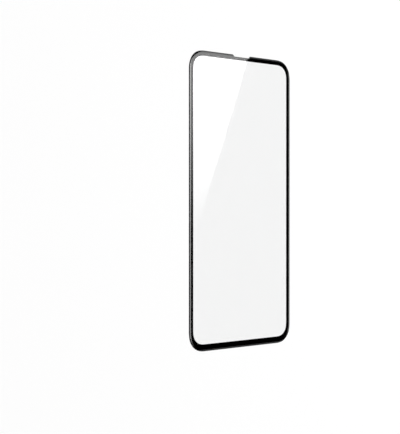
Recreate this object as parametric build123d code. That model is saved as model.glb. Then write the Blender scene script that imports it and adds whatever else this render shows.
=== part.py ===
from build123d import *
import os
from math import cos, radians, sin, tan

# Phone screen protector: a thin sheet of tempered glass with a curved front edge, a speaker notch in
# the top edge and a black border printed on the back.
# The sheet lies on its back. +X runs to its right side, +Y to the notch and +Z out of its front.
# The origin is at the middle of the back. Lengths are in millimetres and angles in degrees.

# Sheet: the glass together with the clear coat that bonds it
SHEET_WIDTH = 68.0
SHEET_HEIGHT = 143.0
SHEET_THICKNESS = 0.45

# Corner: a tight core arc between two wide lead arcs, so that the edge bends in gradually
CORNER_CORE_RADIUS = 8.1
CORNER_LEAD_RADIUS = 14.6
CORNER_LEAD_ANGLE = 12.0

# Edge: a curve that leaves the front face tangentially, a softened ridge, a side wall, a ground arris
EDGE_CURVE_WIDTH = 1.15
EDGE_CURVE_DROP = 0.28
EDGE_RIDGE_RADIUS = 0.05
REAR_ARRIS = 0.05

# Notch: it is cut straight through the curved edge, with sloping flanks and a flat floor
NOTCH_WIDTH = 10.7  # between the flanks at half depth
NOTCH_DEPTH = 0.98
NOTCH_FLANK_ANGLE = 55.0
NOTCH_LIP_RADIUS = 0.5
NOTCH_ROOT_RADIUS = 0.5

# Printed border: it is let into the back, a little deeper than its own thickness, so that the sheet
# lies on its clear middle and not on the print, and it stops short of the glass's edge
BORDER_SIDE = 2.6
BORDER_TOP = 2.55
BORDER_BOTTOM = 3.35
BORDER_THICKNESS = 0.05
BORDER_SETBACK = 0.02
BORDER_EDGE_MARGIN = 0.15

# Room by which a cutting tool stands clear of the faces it starts from
CUT_ROOM = 0.2

# Two heights that differ by less than this are the same height
SAME_HEIGHT = 0.001

RIDGE_HEIGHT = SHEET_THICKNESS - EDGE_CURVE_DROP

# Window: the clear opening in the border; its corners run parallel to the sheet's
WINDOW_CORE_RADIUS = CORNER_CORE_RADIUS - BORDER_SIDE
WINDOW_LEAD_RADIUS = CORNER_LEAD_RADIUS - BORDER_SIDE
WINDOW_WIDTH = SHEET_WIDTH - 2 * BORDER_SIDE
WINDOW_TOP = SHEET_HEIGHT / 2 - BORDER_TOP
WINDOW_BOTTOM = -SHEET_HEIGHT / 2 + BORDER_BOTTOM


def corner_reach(core_radius, lead_radius):
    """Distance from a corner's sharp point to where its first lead arc begins."""
    angle = radians(CORNER_LEAD_ANGLE)
    leads = lead_radius * (1 + sin(angle) - cos(angle))
    core = core_radius * (cos(angle) - sin(angle))
    return leads + core


def draw_corner(before, core_radius, lead_radius):
    """Draw the three arcs of a corner at the end of a line and return the last one."""
    lead_in = JernArc(before @ 1, before % 1, lead_radius, CORNER_LEAD_ANGLE)
    core = JernArc(lead_in @ 1, lead_in % 1, core_radius, 90 - 2 * CORNER_LEAD_ANGLE)
    return JernArc(core @ 1, core % 1, lead_radius, CORNER_LEAD_ANGLE)


def draw_side(width, bottom, top, core_radius, lead_radius):
    """Draw an outline's right side with both corners, from the bottom's middle, and return its end."""
    reach = corner_reach(core_radius, lead_radius)
    base = Line((0, bottom), (width / 2 - reach, bottom))
    lower = draw_corner(base, core_radius, lead_radius)
    side = Line(lower @ 1, (width / 2, top - reach))
    return draw_corner(side, core_radius, lead_radius)


def draw_notch(corner):
    """Draw the top edge from a corner to the middle of the notch's floor."""
    top = SHEET_HEIGHT / 2
    half_turn = tan(radians(NOTCH_FLANK_ANGLE / 2))
    flank_run = NOTCH_DEPTH / 2 / tan(radians(NOTCH_FLANK_ANGLE))
    lip_start = NOTCH_WIDTH / 2 + flank_run + NOTCH_LIP_RADIUS * half_turn
    floor_end = NOTCH_WIDTH / 2 - flank_run - NOTCH_ROOT_RADIUS * half_turn
    edge = Line(corner @ 1, (lip_start, top))
    lip = JernArc(edge @ 1, edge % 1, NOTCH_LIP_RADIUS, NOTCH_FLANK_ANGLE)
    floor = Line((0, top - NOTCH_DEPTH), (floor_end, top - NOTCH_DEPTH))
    root = JernArc(floor @ 1, floor % 1, NOTCH_ROOT_RADIUS, NOTCH_FLANK_ANGLE)
    Line(lip @ 1, root @ 1)


def sheet_outline():
    """Face of the whole sheet, seen from the front."""
    with BuildSketch() as sketch:
        with BuildLine():
            corner = draw_side(
                SHEET_WIDTH, -SHEET_HEIGHT / 2, SHEET_HEIGHT / 2, CORNER_CORE_RADIUS, CORNER_LEAD_RADIUS
            )
            draw_notch(corner)
            mirror(about=Plane.YZ)
        make_face()
    return sketch.sketch


def plain_outline(width, bottom, top, core_radius, lead_radius):
    """Face with four rounded corners and no notch."""
    with BuildSketch() as sketch:
        with BuildLine():
            corner = draw_side(width, bottom, top, core_radius, lead_radius)
            Line(corner @ 1, (0, top))
            mirror(about=Plane.YZ)
        make_face()
    return sketch.sketch


def window_outline():
    """Face of the clear opening inside the border."""
    return plain_outline(WINDOW_WIDTH, WINDOW_BOTTOM, WINDOW_TOP, WINDOW_CORE_RADIUS, WINDOW_LEAD_RADIUS)


def edge_cutter():
    """Solid that takes the front edge down to its curve, swept once round the sheet past the notch."""
    path = plain_outline(
        SHEET_WIDTH, -SHEET_HEIGHT / 2, SHEET_HEIGHT / 2, CORNER_CORE_RADIUS, CORNER_LEAD_RADIUS
    )
    above = SHEET_THICKNESS + CUT_ROOM
    section_plane = Plane((0, -SHEET_HEIGHT / 2, 0), x_dir=(0, 1, 0), z_dir=(1, 0, 0))
    with BuildPart() as cutter:
        with BuildSketch(section_plane) as section:
            with BuildLine():
                curve = TangentArc(
                    (EDGE_CURVE_WIDTH, SHEET_THICKNESS), (0, RIDGE_HEIGHT), tangent=(-1, 0)
                )
                Polyline(
                    curve @ 1,
                    (-CUT_ROOM, RIDGE_HEIGHT),
                    (-CUT_ROOM, above),
                    (EDGE_CURVE_WIDTH, above),
                    curve @ 0,
                )
            make_face()
        sweep(section.sketch, path=path.wire())
    return cutter.part


def border_outline(outline):
    """Face of the print, which follows the sheet's outline and leaves the window clear."""
    with BuildSketch() as sketch:
        add(outline)
        offset(amount=-BORDER_EDGE_MARGIN, mode=Mode.REPLACE)
        add(window_outline(), mode=Mode.SUBTRACT)
    return sketch.sketch


def black_border(outline):
    """Thin print in the bottom of its recess."""
    with BuildPart() as border:
        with BuildSketch(Plane.XY.offset(BORDER_SETBACK)):
            add(border_outline(outline))
        extrude(amount=BORDER_THICKNESS)
    return border.part


def glass_pane(outline):
    """Sheet with its curved front edge, ground rear edge and the recess for the print."""
    with BuildPart() as pane:
        with BuildSketch():
            add(outline)
        extrude(amount=SHEET_THICKNESS)
        chamfer(pane.faces().sort_by(Axis.Z)[0].edges(), length=REAR_ARRIS)
        add(edge_cutter(), mode=Mode.SUBTRACT)
        ridge = pane.edges().filter_by_position(
            Axis.Z, RIDGE_HEIGHT - SAME_HEIGHT, RIDGE_HEIGHT + SAME_HEIGHT
        )
        fillet(ridge, EDGE_RIDGE_RADIUS)
        with BuildSketch():
            add(border_outline(outline))
        extrude(amount=BORDER_SETBACK + BORDER_THICKNESS, mode=Mode.SUBTRACT)
    return pane.part


sheet = sheet_outline()
os.makedirs("parts", exist_ok=True)
export_step(glass_pane(sheet), "parts/glass_pane.step")
export_step(black_border(sheet), "parts/black_border.step")
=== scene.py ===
from math import asin, atan2, ceil, cos, pi, radians, sin, tan

import bpy
from mathutils import Matrix, Vector


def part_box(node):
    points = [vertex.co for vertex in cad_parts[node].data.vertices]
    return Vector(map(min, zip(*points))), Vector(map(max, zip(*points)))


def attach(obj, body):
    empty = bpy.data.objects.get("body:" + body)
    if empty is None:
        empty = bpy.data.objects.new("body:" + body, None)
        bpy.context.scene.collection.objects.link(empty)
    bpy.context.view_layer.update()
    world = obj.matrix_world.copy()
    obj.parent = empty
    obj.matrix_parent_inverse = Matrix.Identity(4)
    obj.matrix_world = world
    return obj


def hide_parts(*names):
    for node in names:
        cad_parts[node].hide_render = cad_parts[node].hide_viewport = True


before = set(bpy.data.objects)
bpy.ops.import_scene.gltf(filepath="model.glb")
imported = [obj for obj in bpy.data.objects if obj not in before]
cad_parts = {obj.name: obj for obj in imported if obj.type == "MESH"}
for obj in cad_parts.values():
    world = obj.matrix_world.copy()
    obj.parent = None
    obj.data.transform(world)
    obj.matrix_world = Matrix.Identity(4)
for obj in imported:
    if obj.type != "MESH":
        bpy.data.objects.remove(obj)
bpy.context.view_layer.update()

# Phone screen protector: a sheet of tempered glass with a curved front edge, a speaker notch and a
# black border printed on its back. It lies on its back, with +Y towards the notch and +Z out of its
# front. Lengths are in metres, and angles in degrees where they are named values.
MM = 0.001

# Sheet, from the frame
pane_low, pane_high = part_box("glass_pane")
border_low, border_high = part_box("black_border")
SHEET_WIDTH = pane_high.x - pane_low.x
SHEET_HEIGHT = pane_high.y - pane_low.y
SHEET_THICKNESS = pane_high.z - pane_low.z

# Corner: a tight core arc between two wide lead arcs
CORNER_CORE_RADIUS = 8.1 * MM
CORNER_LEAD_RADIUS = 14.6 * MM
CORNER_LEAD_ANGLE = 12.0

# Edge: a curve that leaves the front face tangentially, a softened ridge, a side wall, a ground arris
EDGE_CURVE_WIDTH = 1.15 * MM
EDGE_CURVE_DROP = 0.28 * MM
EDGE_CURVE_RADIUS = (EDGE_CURVE_WIDTH ** 2 + EDGE_CURVE_DROP ** 2) / (2 * EDGE_CURVE_DROP)
EDGE_RIDGE_RADIUS = 0.05 * MM
REAR_ARRIS = 0.05 * MM

# Notch in the top edge
NOTCH_WIDTH = 10.7 * MM  # between the flanks at half depth
NOTCH_DEPTH = 0.98 * MM
NOTCH_FLANK_ANGLE = 55.0
NOTCH_LIP_RADIUS = 0.5 * MM
NOTCH_ROOT_RADIUS = 0.5 * MM
NOTCH_HALF_TURN = tan(radians(NOTCH_FLANK_ANGLE / 2))
NOTCH_FLANK_RUN = NOTCH_DEPTH / tan(radians(NOTCH_FLANK_ANGLE))
NOTCH_LIP_START = NOTCH_WIDTH / 2 + NOTCH_FLANK_RUN / 2 + NOTCH_LIP_RADIUS * NOTCH_HALF_TURN

# Printed border and the clear window inside it
BORDER_SIDE = 2.6 * MM
BORDER_TOP = 2.55 * MM
BORDER_BOTTOM = 3.35 * MM
BORDER_EDGE_MARGIN = pane_high.x - border_high.x
WINDOW_CORE_RADIUS = CORNER_CORE_RADIUS - BORDER_SIDE
WINDOW_LEAD_RADIUS = CORNER_LEAD_RADIUS - BORDER_SIDE
WINDOW_WIDTH = SHEET_WIDTH - 2 * BORDER_SIDE
WINDOW_TOP = SHEET_HEIGHT / 2 - BORDER_TOP
WINDOW_BOTTOM = -SHEET_HEIGHT / 2 + BORDER_BOTTOM
INK_BITE = 0.004 * MM  # the ink wets the glass: it reaches this far into the faces it is printed on
SIGHT_SHIFT = 0.4 * MM  # a slanting line of sight through the glass moves the print by less than this

# Materials of the pane and of the print, in the order of their slots
CLEAR, OVER_PRINT, GROUND = range(3)
IN_GLASS, BEHIND = range(2)

# Fineness of the meshes
ARC_STEP = 3.0
TIGHT_ARC_STEP = 5.0
RUN_STEP = 6.0 * MM
CURVE_STEPS = 14
RIDGE_STEPS = 7

# Glass, and the noise that its finish and the ink's are made of
GLASS_IOR = 1.5
POLISH = {"scale": 90.0, "detail": 3.0, "low": 0.008, "high": 0.03}
NOISE_SPAN = (0.3, 0.7)  # the part of the noise that is spread over a whole range

# Camera: it looks down on the sheet from its left side, with the notch at the top of the picture
VIEW_AIM = (-27.34 * MM, -7.58 * MM, SHEET_THICKNESS)
VIEW_YAW = 41.396
VIEW_PITCH = -0.25
VIEW_DISTANCE = 507.65 * MM
VIEW_LENS = 88.94
VIEW_SENSOR = 36.0
VIEW_CLIP = 10.0 * MM

# Floor
FLOOR_SIZE = 8.0
FLOOR_GAP = 0.03 * MM  # keeps the floor clear of the sheet's back
FLOOR_COLOUR = (0.95, 0.95, 0.95, 1.0)
FLOOR_WHITE = 1.0  # the white of the floor as it is seen
FLOOR_WHITE_SHARE = 0.8

# Studio: each fade is a pair of angles above the horizon, or to either side of the X axis
LAMP_HEIGHT = 1.0
BAND_RADIANCE = 0.5
BAND_FADE = (12.0, 26.0)
WALL_FOOT_FADE = (10.0, 24.0)
WALL_HEAD_FADE = (41.0, 42.5)
WALL_SIDE_FADE = (0.3, 0.75)  # cosines of the angle to +X
PANEL_RADIANCE = 2.3
PANEL_FADE = (10.0, 13.0)
SIDE_PANEL_RADIANCE = 0.85
SIDE_PANEL_FADE = (23.0, 28.0)


def corner_reach(core_radius, lead_radius):
    """Distance from a corner's sharp point to where its first lead arc begins."""
    angle = radians(CORNER_LEAD_ANGLE)
    return lead_radius * (1 + sin(angle) - cos(angle)) + core_radius * (cos(angle) - sin(angle))


def corner_moves(core_radius, lead_radius):
    """The three arcs of a corner."""
    core_angle = 90 - 2 * CORNER_LEAD_ANGLE
    lead = (lead_radius, CORNER_LEAD_ANGLE, ceil(CORNER_LEAD_ANGLE / ARC_STEP))
    core = (core_radius, core_angle, ceil(core_angle / ARC_STEP))
    return [lead, core, lead]


def side_moves(width, height, core_radius, lead_radius):
    """Moves from the middle of the bottom edge, round the right side, to the end of the top corner."""
    reach = corner_reach(core_radius, lead_radius)
    corner = corner_moves(core_radius, lead_radius)
    half_base = ceil(SHEET_WIDTH / 2 / RUN_STEP)
    side = ceil(SHEET_HEIGHT / RUN_STEP)
    return [(width / 2 - reach, 0, half_base), *corner, (height - 2 * reach, 0, side), *corner]


def notch_moves():
    """Moves along the top edge, from the corner's end to the middle of the notch's floor."""
    floor_half = NOTCH_WIDTH / 2 - NOTCH_FLANK_RUN / 2 - NOTCH_ROOT_RADIUS * NOTCH_HALF_TURN
    edge = SHEET_WIDTH / 2 - corner_reach(CORNER_CORE_RADIUS, CORNER_LEAD_RADIUS) - NOTCH_LIP_START
    flank = NOTCH_DEPTH / sin(radians(NOTCH_FLANK_ANGLE))
    flank -= (NOTCH_LIP_RADIUS + NOTCH_ROOT_RADIUS) * NOTCH_HALF_TURN
    arc = ceil(NOTCH_FLANK_ANGLE / TIGHT_ARC_STEP)
    return [
        (edge, 0, ceil(edge / RUN_STEP)),
        (NOTCH_LIP_RADIUS, NOTCH_FLANK_ANGLE, arc),
        (flank, 0, 2),
        (NOTCH_ROOT_RADIUS, -NOTCH_FLANK_ANGLE, arc),
        (floor_half, 0, 2),
    ]


def walk(start, moves):
    """Points with their outward normals, along straight runs and tangent arcs, walked anticlockwise.

    A move is a length and 0, or a radius and the degrees that it turns to the left, and its steps."""
    place = Vector(start)
    heading = 0.0
    trail = [(place.copy(), Vector((0.0, -1.0)))]
    for size, turn, steps in moves:
        bend = radians(turn) / steps
        stride = 2 * size * sin(abs(bend) / 2) if turn else size / steps
        for _ in range(steps):
            heading += bend / 2
            place += stride * Vector((cos(heading), sin(heading)))
            heading += bend / 2
            trail.append((place.copy(), Vector((sin(heading), -cos(heading)))))
    return trail


def with_mirror(half):
    """A whole outline from its right half, whose ends lie on the middle line."""
    left = [(Vector((-p.x, p.y)), Vector((-n.x, n.y))) for p, n in reversed(half[1:-1])]
    return half + left


def sheet_half():
    """The right half of the sheet's outline, from the bottom's middle to the middle of the notch."""
    sides = side_moves(SHEET_WIDTH, SHEET_HEIGHT, CORNER_CORE_RADIUS, CORNER_LEAD_RADIUS)
    return walk((0.0, -SHEET_HEIGHT / 2), sides + notch_moves())


def window_half():
    """The right half of the window's outline, with a point for each point of the sheet's half."""
    height = WINDOW_TOP - WINDOW_BOTTOM
    sides = side_moves(WINDOW_WIDTH, height, WINDOW_CORE_RADIUS, WINDOW_LEAD_RADIUS)
    half = walk((0.0, WINDOW_BOTTOM), sides)
    outer = sheet_half()
    corner_end = len(half) - 1
    squeeze = half[corner_end][0].x / outer[corner_end][0].x
    for point, _ in outer[corner_end + 1:]:
        half.append((Vector((point.x * squeeze, WINDOW_TOP)), Vector((0.0, 1.0))))
    return half


class RingMesh:
    """A mesh of closed rings joined by strips, with the true normal at each corner of a face."""

    def __init__(self):
        self.points = []
        self.faces = []
        self.normals = []
        self.slots = []

    def ring(self, points):
        """Add a ring of points and return their numbers."""
        first = len(self.points)
        self.points.extend(points)
        return list(range(first, len(self.points)))

    def strip(self, start, end, start_normals, end_normals, slot):
        """Join two rings whose points have these normals."""
        count = len(start)
        for i in range(count):
            j = (i + 1) % count
            self.faces.append([start[i], end[i], end[j], start[j]])
            self.normals.extend([start_normals[i], end_normals[i], end_normals[j], start_normals[j]])
            self.slots.append(slot)

    def cap(self, ring, up, slot):
        """Close a ring with one flat face."""
        self.faces.append(ring if up > 0 else ring[::-1])
        self.normals.extend([(0.0, 0.0, up)] * len(ring))
        self.slots.append(slot)

    def build(self, name, materials):
        """Make the mesh an object of the scene, with a slot for each material."""
        mesh = bpy.data.meshes.new(name)
        mesh.from_pydata(self.points, [], self.faces)
        for material in materials:
            mesh.materials.append(material)
        mesh.polygons.foreach_set("material_index", self.slots)
        mesh.polygons.foreach_set("use_smooth", [True] * len(self.faces))
        mesh.normals_split_custom_set(self.normals)
        piece = bpy.data.objects.new(name, mesh)
        bpy.context.scene.collection.objects.link(piece)
        return piece


def moved_in(trail, inset, height):
    """An outline moved inwards, at a height."""
    return [(p.x - n.x * inset, p.y - n.y * inset, height) for p, n in trail]


def tilted(trail, tilt):
    """An outline's normals, turned by degrees from the front's normal towards the outside."""
    flat = sin(radians(tilt))
    return [(n.x * flat, n.y * flat, cos(radians(tilt))) for _, n in trail]


def edge_column(place, outward):
    """Points and normals down the edge, from the front face over the curve and the ridge to the wall.

    The curve follows the outline past the notch, and the ridge is a ball rolled along curve and wall."""
    in_notch = abs(place.x) < NOTCH_LIP_START and place.y > 0
    curve_out = Vector((0.0, 1.0)) if in_notch else outward
    ball = place - outward * EDGE_RIDGE_RADIUS
    ball_inset = SHEET_HEIGHT / 2 - ball.y if in_notch else EDGE_RIDGE_RADIUS
    ball_from_axis = EDGE_CURVE_RADIUS - EDGE_RIDGE_RADIUS
    ridge_tilt = asin((EDGE_CURVE_WIDTH - ball_inset) / ball_from_axis)
    axis = ball - curve_out * (EDGE_CURVE_WIDTH - ball_inset)
    axis_height = SHEET_THICKNESS - EDGE_CURVE_RADIUS
    ball_height = axis_height + ball_from_axis * cos(ridge_tilt)
    column = []
    for step in range(CURVE_STEPS + 1):
        tilt = ridge_tilt * step / CURVE_STEPS
        normal = Vector((*(curve_out * sin(tilt)), cos(tilt)))
        column.append((Vector((*axis, axis_height)) + normal * EDGE_CURVE_RADIUS, normal))
    curve_end = column[-1][1]
    wall = Vector((*outward, 0.0))
    for step in range(1, RIDGE_STEPS + 1):
        normal = curve_end.slerp(wall, step / RIDGE_STEPS)
        column.append((Vector((*ball, ball_height)) + normal * EDGE_RIDGE_RADIUS, normal))
    return column


def glass_front(mesh, sheet, window):
    """Add the front face and the edge's curve and ridge, and return the ring where the wall begins."""
    columns = [edge_column(place, outward) for place, outward in sheet]
    rows = list(zip(*columns))
    rings = [mesh.ring([tuple(point) for point, _ in row]) for row in rows]
    normals = [[tuple(normal) for _, normal in row] for row in rows]
    sight_edge = mesh.ring(moved_in(window, -SIGHT_SHIFT, SHEET_THICKNESS))
    mesh.cap(sight_edge, 1.0, CLEAR)
    mesh.strip(sight_edge, rings[0], tilted(sheet, 0), normals[0], OVER_PRINT)
    for i in range(len(rows) - 1):
        mesh.strip(rings[i], rings[i + 1], normals[i], normals[i + 1], OVER_PRINT)
    return rings[-1]


def glass_back(mesh, sheet, window, wall_head):
    """Add the side wall, the arris and the back with its recess for the print."""
    out, slant, back, inward = (tilted(sheet, tilt) for tilt in (90, 135, 180, 270))
    window_out = tilted(window, 90)
    wall_foot = mesh.ring(moved_in(sheet, 0.0, REAR_ARRIS))
    back_edge = mesh.ring(moved_in(sheet, REAR_ARRIS, 0.0))
    recess_edge = mesh.ring(moved_in(sheet, BORDER_EDGE_MARGIN, 0.0))
    recess_outer = mesh.ring(moved_in(sheet, BORDER_EDGE_MARGIN, border_high.z))
    recess_inner = mesh.ring(moved_in(window, 0.0, border_high.z))
    window_edge = mesh.ring(moved_in(window, 0.0, 0.0))
    mesh.strip(wall_head, wall_foot, out, out, GROUND)
    mesh.strip(wall_foot, back_edge, slant, slant, GROUND)
    mesh.strip(back_edge, recess_edge, back, back, CLEAR)
    mesh.strip(recess_edge, recess_outer, inward, inward, CLEAR)
    mesh.strip(recess_outer, recess_inner, back, back, CLEAR)
    mesh.strip(recess_inner, window_edge, window_out, window_out, CLEAR)
    mesh.cap(window_edge, -1.0, CLEAR)


def glass_sheet():
    """The pane, as one closed mesh."""
    sheet = with_mirror(sheet_half())
    window = with_mirror(window_half())
    mesh = RingMesh()
    wall_head = glass_front(mesh, sheet, window)
    glass_back(mesh, sheet, window, wall_head)
    return mesh.build("glass_sheet", [polished_glass(), glass_over_print(), ground_edge_glass()])


def printed_border():
    """The print: a thin closed frame that fills its recess and wets the glass."""
    sheet = with_mirror(sheet_half())
    window = with_mirror(window_half())
    mesh = RingMesh()
    top = border_high.z + INK_BITE
    outer_top = mesh.ring(moved_in(sheet, BORDER_EDGE_MARGIN - INK_BITE, top))
    outer_foot = mesh.ring(moved_in(sheet, BORDER_EDGE_MARGIN - INK_BITE, border_low.z))
    inner_foot = mesh.ring(moved_in(window, INK_BITE, border_low.z))
    inner_top = mesh.ring(moved_in(window, INK_BITE, top))
    front, out, back = (tilted(sheet, tilt) for tilt in (0, 90, 180))
    window_in = tilted(window, 270)
    mesh.strip(outer_top, outer_foot, out, out, IN_GLASS)
    mesh.strip(outer_foot, inner_foot, back, back, BEHIND)
    mesh.strip(inner_foot, inner_top, window_in, window_in, IN_GLASS)
    mesh.strip(inner_top, outer_top, front, front, IN_GLASS)
    return mesh.build("printed_border", [ink_in_glass(), ink_back()])


def new_material(name):
    """A material with its node tree, its Principled node and its output node."""
    material = bpy.data.materials.new(name)
    material.use_nodes = True
    nodes = material.node_tree.nodes
    return material, material.node_tree, nodes["Principled BSDF"], nodes["Material Output"]


def math_node(tree, operation, *values):
    """The result of an operation on one or two values."""
    node = tree.nodes.new("ShaderNodeMath")
    node.operation = operation
    for value, socket in zip(values, node.inputs):
        tree.links.new(value, socket)
    return node.outputs["Value"]


def ramp(tree, value, span, results, easing="SMOOTHSTEP"):
    """A value that goes from the first result to the second while the given value crosses the span."""
    node = tree.nodes.new("ShaderNodeMapRange")
    node.interpolation_type = easing
    node.inputs["From Min"].default_value = span[0]
    node.inputs["From Max"].default_value = span[1]
    node.inputs["To Min"].default_value = results[0]
    node.inputs["To Max"].default_value = results[1]
    tree.links.new(value, node.inputs["Value"])
    return node.outputs["Result"]


def noise_range(tree, scale, detail, low, high):
    """A value between low and high that wanders over the surface; scale is in waves per metre."""
    place = tree.nodes.new("ShaderNodeTexCoord")
    noise = tree.nodes.new("ShaderNodeTexNoise")
    noise.inputs["Scale"].default_value = scale
    noise.inputs["Detail"].default_value = detail
    tree.links.new(place.outputs["Object"], noise.inputs["Vector"])
    return ramp(tree, noise.outputs["Fac"], NOISE_SPAN, (low, high), "LINEAR")


def show_mix(tree, share, main, other, output):
    """Show a share of another shader in place of the main one."""
    mix = tree.nodes.new("ShaderNodeMixShader")
    tree.links.new(share, mix.inputs["Fac"])
    tree.links.new(main, mix.inputs[1])
    tree.links.new(other, mix.inputs[2])
    tree.links.new(mix.outputs["Shader"], output.inputs["Surface"])


def glass(name, colour, finish):
    """Glass as the eye sees it, and clear for the light that falls through it on what lies behind."""
    material, tree, shader, output = new_material(name)
    shader.inputs["Base Color"].default_value = colour
    shader.inputs["Transmission Weight"].default_value = 1.0
    shader.inputs["IOR"].default_value = GLASS_IOR
    tree.links.new(noise_range(tree, **finish), shader.inputs["Roughness"])
    path = tree.nodes.new("ShaderNodeLightPath")
    falling = math_node(tree, "MAXIMUM", path.outputs["Is Shadow Ray"], path.outputs["Is Diffuse Ray"])
    clear = tree.nodes.new("ShaderNodeBsdfTransparent")
    show_mix(tree, falling, shader.outputs["BSDF"], clear.outputs["BSDF"], output)
    return material


def polished_glass():
    """Clear tempered glass with a fire-polished front."""
    return glass("polished_glass", (0.996, 0.999, 0.998, 1.0), POLISH)


def glass_over_print():
    """Glass of the border and the curved edge, darkened by the print that lies all along behind it."""
    return glass("glass_over_print", (0.002, 0.002, 0.002, 1.0), POLISH)


def ground_edge_glass():
    """The side wall and arris, ground to a fine matt."""
    matt = {"scale": 4000.0, "detail": 2.0, "low": 0.28, "high": 0.45}
    return glass("ground_edge_glass", (0.93, 0.95, 0.95, 1.0), matt)


def tint_black(tree, shader, level):
    """Give a shader a neutral colour of this level."""
    tint = tree.nodes.new("ShaderNodeCombineColor")
    for channel in ("Red", "Green", "Blue"):
        tree.links.new(level, tint.inputs[channel])
    tree.links.new(tint.outputs["Color"], shader.inputs["Base Color"])


def ink_in_glass():
    """Black ink where it wets the glass, so that it has no gloss of its own there."""
    material, tree, shader, _ = new_material("ink_in_glass")
    tint_black(tree, shader, noise_range(tree, scale=900.0, detail=4.0, low=0.0008, high=0.0016))
    shader.inputs["Roughness"].default_value = 0.7
    shader.inputs["Specular IOR Level"].default_value = 0.0
    return material


def ink_back():
    """The back of the print: satin black with the fine grain of a screen print."""
    material, tree, shader, _ = new_material("ink_back")
    tint_black(tree, shader, noise_range(tree, scale=1500.0, detail=4.0, low=0.006, high=0.012))
    satin = noise_range(tree, scale=6000.0, detail=2.0, low=0.42, high=0.6)
    tree.links.new(satin, shader.inputs["Roughness"])
    return material


def floor_paint():
    """Pale matt paint, which the eye sees for the most part as an even white."""
    material, tree, shader, output = new_material("pale_floor")
    shader.inputs["Base Color"].default_value = FLOOR_COLOUR
    shader.inputs["Roughness"].default_value = 0.9
    shader.inputs["Specular IOR Level"].default_value = 0.2
    path = tree.nodes.new("ShaderNodeLightPath")
    seen = path.outputs["Is Camera Ray"]
    for ray in ("Is Glossy Ray", "Is Transmission Ray"):
        seen = math_node(tree, "MAXIMUM", seen, path.outputs[ray])
    share = ramp(tree, seen, (0.0, 1.0), (0.0, FLOOR_WHITE_SHARE), "LINEAR")
    white = tree.nodes.new("ShaderNodeEmission")
    white.inputs["Strength"].default_value = FLOOR_WHITE
    show_mix(tree, share, shader.outputs["BSDF"], white.outputs["Emission"], output)
    return material


def pale_floor():
    """A wide matt floor just under the sheet."""
    bpy.ops.mesh.primitive_plane_add(size=FLOOR_SIZE, location=(0.0, 0.0, -FLOOR_GAP))
    floor = bpy.context.object
    floor.name = "floor"
    floor.data.materials.append(floor_paint())


def sines(angles):
    """The sines of angles above the horizon, which are heights in the studio's sphere."""
    return [sin(radians(angle)) for angle in angles]


def tangents(angles):
    """The tangents of angles to either side of the X axis."""
    return [tan(radians(angle)) for angle in angles]


def studio_world():
    """A dark studio with a pale band along the horizon and a bright wall beyond the sheet's right side.

    The wall has a bright panel in the middle and dimmer ones at its sides. Between them, wall and band
    are dark."""
    world = bpy.data.worlds.new("studio")
    bpy.context.scene.world = world
    world.use_nodes = True
    tree = world.node_tree
    place = tree.nodes.new("ShaderNodeTexCoord")
    split = tree.nodes.new("ShaderNodeSeparateXYZ")
    tree.links.new(place.outputs["Generated"], split.inputs["Vector"])
    height = split.outputs["Z"]
    ahead = split.outputs["X"]
    sideways = math_node(tree, "ABSOLUTE", math_node(tree, "DIVIDE", split.outputs["Y"], ahead))
    middle = ramp(tree, sideways, tangents(PANEL_FADE), (1.0, 0.0))
    sides = ramp(tree, sideways, tangents(SIDE_PANEL_FADE), (0.0, 1.0))
    band = ramp(tree, height, sines(BAND_FADE), (BAND_RADIANCE, 0.0))
    band = math_node(tree, "MULTIPLY", band, math_node(tree, "ADD", middle, sides))
    panel = ramp(tree, middle, (0.0, 1.0), (0.0, PANEL_RADIANCE))
    side_panels = ramp(tree, sides, (0.0, 1.0), (0.0, SIDE_PANEL_RADIANCE))
    wall_foot = ramp(tree, height, sines(WALL_FOOT_FADE), (0.0, 1.0))
    wall_head = ramp(tree, height, sines(WALL_HEAD_FADE), (1.0, 0.0))
    wall_side = ramp(tree, ahead, WALL_SIDE_FADE, (0.0, 1.0))
    wall = math_node(tree, "ADD", panel, side_panels)
    for share in (wall_foot, wall_head, wall_side):
        wall = math_node(tree, "MULTIPLY", wall, share)
    backdrop = tree.nodes["Background"]
    backdrop.inputs["Color"].default_value = (1.0, 1.0, 1.0, 1.0)
    tree.links.new(math_node(tree, "ADD", band, wall), backdrop.inputs["Strength"])


def fade_along_y(lamp, fade, dimmest):
    """Bring a lamp from its dimmest share, at the first place along Y, to full light at the second."""
    lamp.use_nodes = True
    tree = lamp.node_tree
    place = tree.nodes.new("ShaderNodeNewGeometry")
    split = tree.nodes.new("ShaderNodeSeparateXYZ")
    tree.links.new(place.outputs["Position"], split.inputs["Vector"])
    share = ramp(tree, split.outputs["Y"], fade, (dimmest, 1.0))
    tree.links.new(share, tree.nodes["Emission"].inputs["Strength"])


def softbox(name, size, centre, radiance, turn=0.0):
    """A rectangular lamp that faces down."""
    lamp = bpy.data.lights.new(name, "AREA")
    lamp.shape = "RECTANGLE"
    lamp.size = size[0]
    lamp.size_y = size[1]
    lamp.energy = radiance * pi * lamp.size * lamp.size_y
    box = bpy.data.objects.new(name, lamp)
    box.location = (*centre, LAMP_HEIGHT)
    box.rotation_euler.z = turn
    box.visible_camera = False
    bpy.context.scene.collection.objects.link(box)
    return lamp


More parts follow.
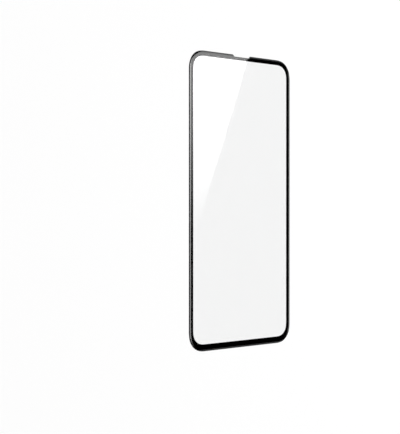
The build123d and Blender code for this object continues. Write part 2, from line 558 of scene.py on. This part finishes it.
def card(name, size, corner, along, radiance):
    """A lamp that begins at a corner and runs along a line, with its width to the left of the line."""
    along = Vector(along)
    across = Vector((-along.y, along.x))
    centre = Vector(corner) + along * size[1] / 2 + across * size[0] / 2
    return softbox(name, size, centre, radiance, turn=atan2(along.y, along.x) - pi / 2)


def studio_softboxes():
    """Softboxes either side of the middle, so that none mirrors in a view from above."""
    right = softbox("softbox_right", size=(0.47, 0.6), centre=(0.355, 0.0), radiance=11.3)
    fade_along_y(right, fade=(-0.11, 0.19), dimmest=0.52)
    softbox("softbox_right_end", size=(0.56, 0.165), centre=(0.4, 0.3825), radiance=5.5)
    foot = softbox("softbox_right_foot", size=(0.4, 0.66), centre=(0.32, -0.63), radiance=2.2)
    fade_along_y(foot, fade=(-0.55, -0.3), dimmest=0.14)
    softbox("softbox_left", size=(1.28, 1.4), centre=(-0.76, 0.0), radiance=0.85)


def slanted_cards():
    """A long slanted card in two lengths, which the glass mirrors as a bright corner of the window."""
    near = card(
        "slanted_card", size=(0.25, 0.4155), corner=(0.8189, -0.1065), along=(0.3668, 0.9303), radiance=4.8
    )
    fade_along_y(near, fade=(-0.06, 0.268), dimmest=0.0)
    far = card(
        "slanted_card_end", size=(0.25, 1.1), corner=(0.93, 0.307), along=(0.41, 0.912), radiance=4.8
    )
    fade_along_y(far, fade=(0.62, 0.54), dimmest=0.33)


def camera():
    """The camera, turned about the point of the sheet that it looks at."""
    lens = bpy.data.cameras.new("camera")
    lens.sensor_width = VIEW_SENSOR
    lens.lens = VIEW_LENS
    lens.clip_start = VIEW_CLIP
    eye = bpy.data.objects.new("camera", lens)
    turn = Matrix.Rotation(-radians(VIEW_YAW), 4, "Y") @ Matrix.Rotation(radians(VIEW_PITCH), 4, "X")
    stand_off = Matrix.Translation((0.0, 0.0, VIEW_DISTANCE))
    eye.matrix_world = Matrix.Translation(VIEW_AIM) @ turn @ stand_off
    bpy.context.scene.collection.objects.link(eye)
    bpy.context.scene.camera = eye


sheet = glass_sheet()
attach(sheet, "root")
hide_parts("glass_pane")

border = printed_border()
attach(border, "root")
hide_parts("black_border")

pale_floor()
studio_world()
studio_softboxes()
slanted_cards()
camera()
bpy.context.scene.view_settings.view_transform = "Standard"
